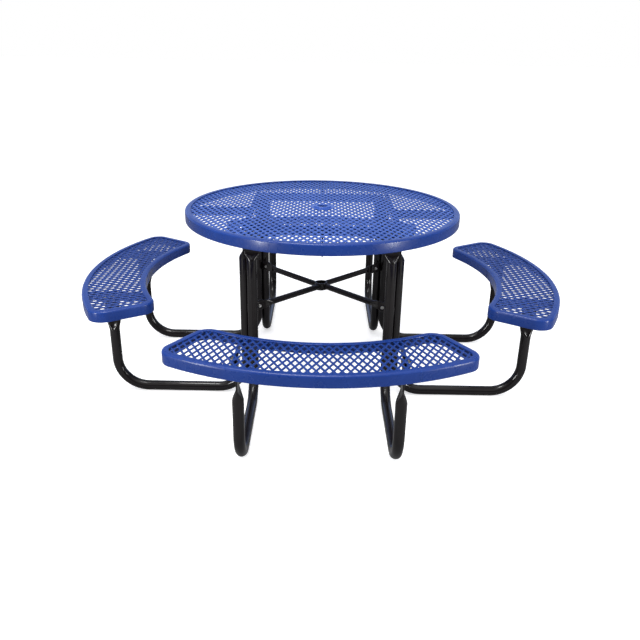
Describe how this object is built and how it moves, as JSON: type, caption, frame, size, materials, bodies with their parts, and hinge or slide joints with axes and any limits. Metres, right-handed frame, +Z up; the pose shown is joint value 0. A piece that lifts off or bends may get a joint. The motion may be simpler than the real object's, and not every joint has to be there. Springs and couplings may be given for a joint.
{
  "type": "picnic table",
  "caption": "Round picnic table: coated mesh top with an umbrella hole, curved mesh seats fixed around it, bent tube legs with both ends flattened, and a cross brace.",
  "frame": {"origin": "on the ground under the centre of the table top", "axes": "+Z up, +X towards the right seat and -Y towards the front seat"},
  "size_m": [2.0398, 2.0398, 0.76],
  "materials": {
    "blue_coating": "thick plastic coating on steel, satin",
    "black_paint": "gloss black powder coat",
    "zinc": "zinc plate, dull"
  },
  "bodies": {
    "root": {"top_rim": "blue_coating", "top_mesh": "blue_coating", "umbrella_plate": "blue_coating", "top_square_bar_front": "blue_coating", "top_radial_bar_front": "black_paint", "seat_rim_front": "blue_coating", "seat_mesh_front": "blue_coating", "seat_bar_front_a": "blue_coating", "seat_bar_front_b": "blue_coating", "frame_tube_front_a": "black_paint", "frame_tube_front_b": "black_paint", "top_square_bar_right": "blue_coating", "top_radial_bar_right": "black_paint", "seat_rim_right": "blue_coating", "seat_mesh_right": "blue_coating", "seat_bar_right_a": "blue_coating", "seat_bar_right_b": "blue_coating", "frame_tube_right_a": "black_paint", "frame_tube_right_b": "black_paint", "top_square_bar_rear": "blue_coating", "top_radial_bar_rear": "black_paint", "seat_rim_rear": "blue_coating", "seat_mesh_rear": "blue_coating", "seat_bar_rear_a": "blue_coating", "seat_bar_rear_b": "blue_coating", "frame_tube_rear_a": "black_paint", "frame_tube_rear_b": "black_paint", "top_square_bar_left": "blue_coating", "top_radial_bar_left": "black_paint", "seat_rim_left": "blue_coating", "seat_mesh_left": "blue_coating", "seat_bar_left_a": "blue_coating", "seat_bar_left_b": "blue_coating", "frame_tube_left_a": "black_paint", "frame_tube_left_b": "black_paint", "brace_arm_front_right": "black_paint", "leg_tab_front_right": "black_paint", "brace_arm_rear_right": "black_paint", "leg_tab_rear_right": "black_paint", "brace_arm_rear_left": "black_paint", "leg_tab_rear_left": "black_paint", "brace_arm_front_left": "black_paint", "leg_tab_front_left": "black_paint", "brace_hub_ring": "black_paint", "leg_top_bolts": "zinc", "leg_top_washers": "zinc", "leg_top_nuts": "zinc", "seat_bolts": "zinc", "seat_washers": "zinc", "seat_nuts": "zinc", "brace_bolts": "zinc", "brace_nuts": "zinc"}
  },
  "joints": []
}
